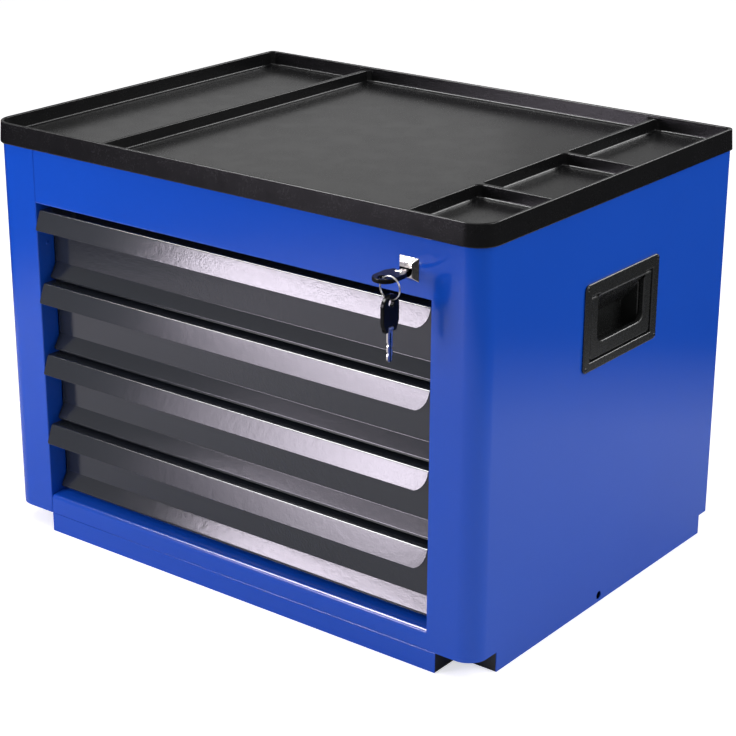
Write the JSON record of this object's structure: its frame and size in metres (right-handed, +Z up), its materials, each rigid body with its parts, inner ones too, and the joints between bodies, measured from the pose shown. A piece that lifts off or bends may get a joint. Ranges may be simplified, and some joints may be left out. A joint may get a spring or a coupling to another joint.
{
  "type": "portable tool box with drawers",
  "caption": "Steel tool box with a moulded top tray, drawers with angled pull lips, a key lock and folding side handles.",
  "frame": {"origin": "centre of the plinth's underside, on the floor, midway between the side panels and midway between the front and back of the steel body", "axes": "+X along the width towards the side with the lock, +Y from the drawers towards the back, +Z up"},
  "size_m": [0.5862, 0.4712, 0.425],
  "materials": {
    "blue_paint": "glossy powder coat",
    "charcoal_paint": "glossy, lightly textured powder coat",
    "black_paint": "satin",
    "tray_plastic": "fine leather grain, satin",
    "handle_plastic": "satin",
    "key_plastic": "gloss",
    "chrome": "polished",
    "nickel": "bright nickel plate",
    "zinc": "bright zinc plate"
  },
  "bodies": {
    "cabinet": {"back_panel": "blue_paint", "back_rivets": "zinc", "base_pan": "blue_paint", "deck_panel": "blue_paint", "front_foot_channel": "black_paint", "front_plinth": "blue_paint", "handle_pins": "zinc", "handle_screws": "black_paint", "jamb_rivets": "blue_paint", "left_foot_channel": "black_paint", "left_handle_frame": "handle_plastic", "left_side_panel": "blue_paint", "lock_bar_guides": "zinc", "lock_escutcheon": "chrome", "lock_housing": "nickel", "lock_nut": "nickel", "right_foot_channel": "black_paint", "right_handle_frame": "handle_plastic", "right_side_panel": "blue_paint", "sill_rail": "blue_paint", "slide_outer_members": "zinc", "slide_posts": "zinc", "top_tray": "tray_plastic", "upper_front_rail": "blue_paint"},
    "drawer_1": {"drawer_1_front": "charcoal_paint", "drawer_1_box": "charcoal_paint", "drawer_1_inner_slides": "zinc", "drawer_1_catch": "zinc"},
    "slides_1": {"drawer_1_middle_slides": "zinc"},
    "drawer_2": {"drawer_2_front": "charcoal_paint", "drawer_2_box": "charcoal_paint", "drawer_2_inner_slides": "zinc", "drawer_2_catch": "zinc"},
    "slides_2": {"drawer_2_middle_slides": "zinc"},
    "drawer_3": {"drawer_3_front": "charcoal_paint", "drawer_3_box": "charcoal_paint", "drawer_3_inner_slides": "zinc", "drawer_3_catch": "zinc"},
    "slides_3": {"drawer_3_middle_slides": "zinc"},
    "drawer_4": {"drawer_4_front": "charcoal_paint", "drawer_4_box": "charcoal_paint", "drawer_4_inner_slides": "zinc", "drawer_4_catch": "zinc"},
    "slides_4": {"drawer_4_middle_slides": "zinc"},
    "lock_plug": {"lock_plug": "nickel", "lock_cam": "zinc", "lock_cam_screw": "zinc"},
    "lock_bar": {"lock_bar": "zinc"},
    "key": {"key_blade": "nickel", "key_pin": "nickel"},
    "key_head": {"key_head": "key_plastic"},
    "key_ring": {"key_ring": "nickel"},
    "spare_key": {"spare_key_head": "key_plastic", "spare_key_pin": "nickel"},
    "spare_blade": {"spare_key_blade": "nickel"},
    "left_bail": {"left_handle_bail": "handle_plastic"},
    "right_bail": {"right_handle_bail": "handle_plastic"}
  },
  "joints": [
    {"name": "drawer_1_slide", "type": "slide", "parent": "cabinet", "child": "drawer_1", "axis": [0, -1, 0], "range_m": [0, 0.34]},
    {"name": "slides_1_slide", "type": "slide", "parent": "cabinet", "child": "slides_1", "axis": [0, -1, 0], "range_m": [0, 0.17]},
    {"name": "drawer_2_slide", "type": "slide", "parent": "cabinet", "child": "drawer_2", "axis": [0, -1, 0], "range_m": [0, 0.34]},
    {"name": "slides_2_slide", "type": "slide", "parent": "cabinet", "child": "slides_2", "axis": [0, -1, 0], "range_m": [0, 0.17]},
    {"name": "drawer_3_slide", "type": "slide", "parent": "cabinet", "child": "drawer_3", "axis": [0, -1, 0], "range_m": [0, 0.34]},
    {"name": "slides_3_slide", "type": "slide", "parent": "cabinet", "child": "slides_3", "axis": [0, -1, 0], "range_m": [0, 0.17]},
    {"name": "drawer_4_slide", "type": "slide", "parent": "cabinet", "child": "drawer_4", "axis": [0, -1, 0], "range_m": [0, 0.34]},
    {"name": "slides_4_slide", "type": "slide", "parent": "cabinet", "child": "slides_4", "axis": [0, -1, 0], "range_m": [0, 0.17]},
    {"name": "lock_turn", "type": "hinge", "parent": "cabinet", "child": "lock_plug", "pos_m": [0.2145, -0.2, 0.374], "axis": [0, 1, 0], "range_deg": [0, 90]},
    {"name": "lock_bar_slide", "type": "slide", "parent": "cabinet", "child": "lock_bar", "axis": [0, 0, -1], "range_m": [0, 0.01202]},
    {"name": "key_withdraw", "type": "slide", "parent": "lock_plug", "child": "key", "axis": [0, -1, 0], "range_m": [0, 0.34]},
    {"name": "key_head_fold", "type": "hinge", "parent": "key", "child": "key_head", "pos_m": [0.2145, -0.2242, 0.374], "axis": [-1, 0, 0], "range_deg": [0, 90]},
    {"name": "key_ring_swing", "type": "hinge", "parent": "key_head", "child": "key_ring", "pos_m": [0.2145, -0.2472, 0.374], "axis": [0, 1, 0], "range_deg": [-6, 6]},
    {"name": "spare_key_swing", "type": "hinge", "parent": "key_ring", "child": "spare_key", "pos_m": [0.22241, -0.2472, 0.35775], "axis": [-1, 0, 0], "range_deg": [-15, 45]},
    {"name": "spare_key_fold", "type": "hinge", "parent": "spare_key", "child": "spare_blade", "pos_m": [0.22241, -0.2472, 0.33225], "axis": [0, -1, 0], "range_deg": [0, 90]},
    {"name": "left_bail_fold", "type": "hinge", "parent": "cabinet", "child": "left_bail", "pos_m": [-0.288, 0.014, 0.3155], "axis": [0, 1, 0], "range_deg": [0, 90]},
    {"name": "right_bail_fold", "type": "hinge", "parent": "cabinet", "child": "right_bail", "pos_m": [0.288, 0.014, 0.3155], "axis": [0, -1, 0], "range_deg": [0, 90]}
  ],
  "couplings": [
    {"joint": "slides_1_slide", "follows": "drawer_1_slide", "ratio": 0.5},
    {"joint": "slides_2_slide", "follows": "drawer_2_slide", "ratio": 0.5},
    {"joint": "slides_3_slide", "follows": "drawer_3_slide", "ratio": 0.5},
    {"joint": "slides_4_slide", "follows": "drawer_4_slide", "ratio": 0.5},
    {"joint": "lock_turn", "follows": "lock_bar_slide", "rad_per_m": 130.67},
    {"joint": "key_withdraw", "follows": "drawer_4_slide", "ratio": 1}
  ]
}
